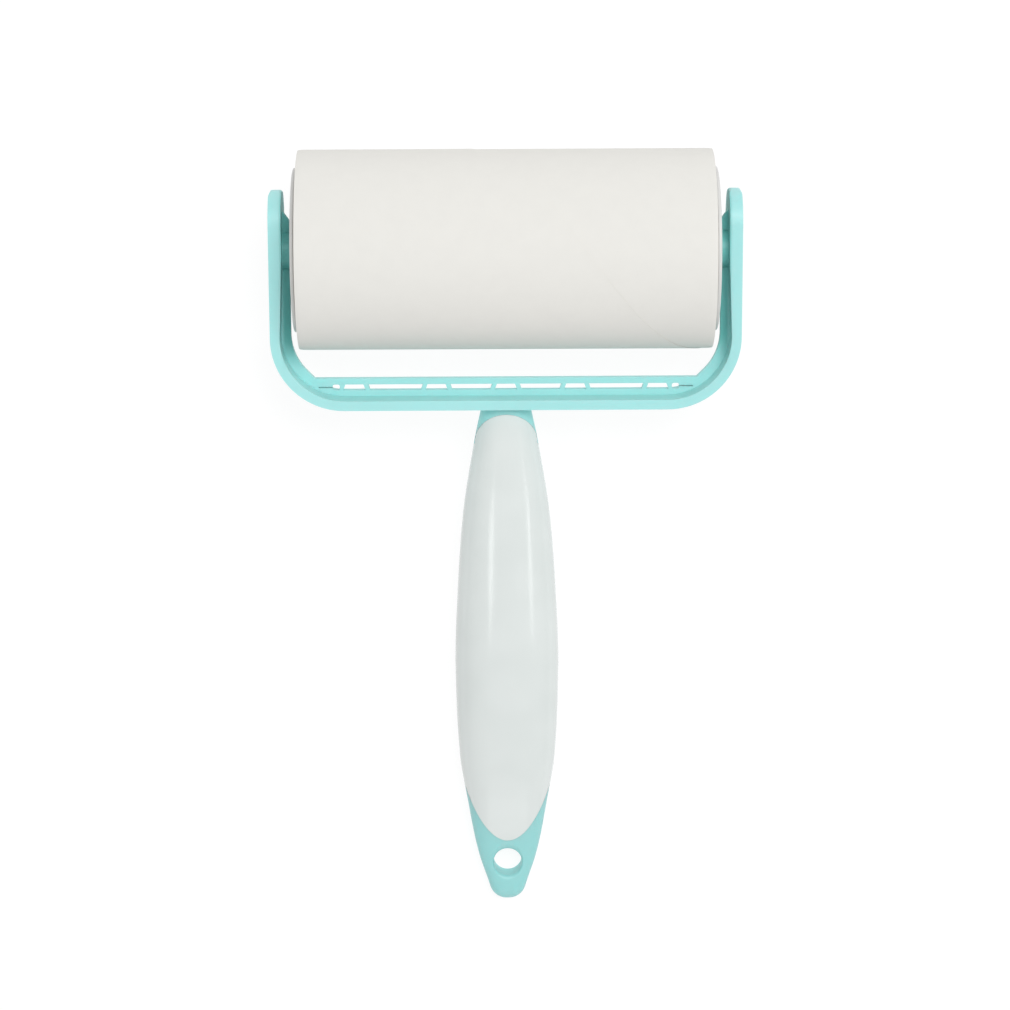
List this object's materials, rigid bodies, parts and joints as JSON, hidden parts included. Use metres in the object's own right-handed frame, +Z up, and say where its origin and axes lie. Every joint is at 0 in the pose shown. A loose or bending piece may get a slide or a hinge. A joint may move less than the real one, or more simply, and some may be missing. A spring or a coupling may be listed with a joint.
{
  "type": "lint roller",
  "caption": "Hand-held lint roller: a two-armed plastic yoke holds a refillable adhesive paper roll on a long oval handle with a hanging hole.",
  "frame": {"origin": "centre of the bounding box at the surface that the roller lies on", "axes": "+X along the roll's axis, +Y from the hanging hole towards the roll, +Z up from the surface it lies on, front of the handle upwards"},
  "size_m": [0.1136, 0.188, 0.0484],
  "materials": {
    "mint_plastic": "satin moulded polypropylene, pale mint",
    "white_gloss_plastic": "polished moulded plastic, cool white",
    "hub_plastic": "satin moulded plastic, neutral white",
    "core_cardboard": "spiral-wound grey-brown board",
    "sheet_paper": "matt off-white coated paper",
    "screw_steel": "zinc-plated, satin"
  },
  "bodies": {
    "handle_and_yoke": {"yoke_frame": "mint_plastic", "handle_spine": "mint_plastic", "handle_front_cover": "white_gloss_plastic", "handle_rear_cover": "white_gloss_plastic", "cover_screw_upper": "screw_steel", "cover_screw_lower": "screw_steel"},
    "roller": {"hub_left": "hub_plastic", "hub_right": "hub_plastic", "core_tube": "core_cardboard", "paper_roll": "sheet_paper", "working_sheet": "sheet_paper"}
  },
  "joints": [
    {"name": "roller_spin", "type": "hinge", "parent": "handle_and_yoke", "child": "roller", "pos_m": [0, 0.06986, 0.02418], "axis": [1, 0, 0], "continuous": true}
  ]
}
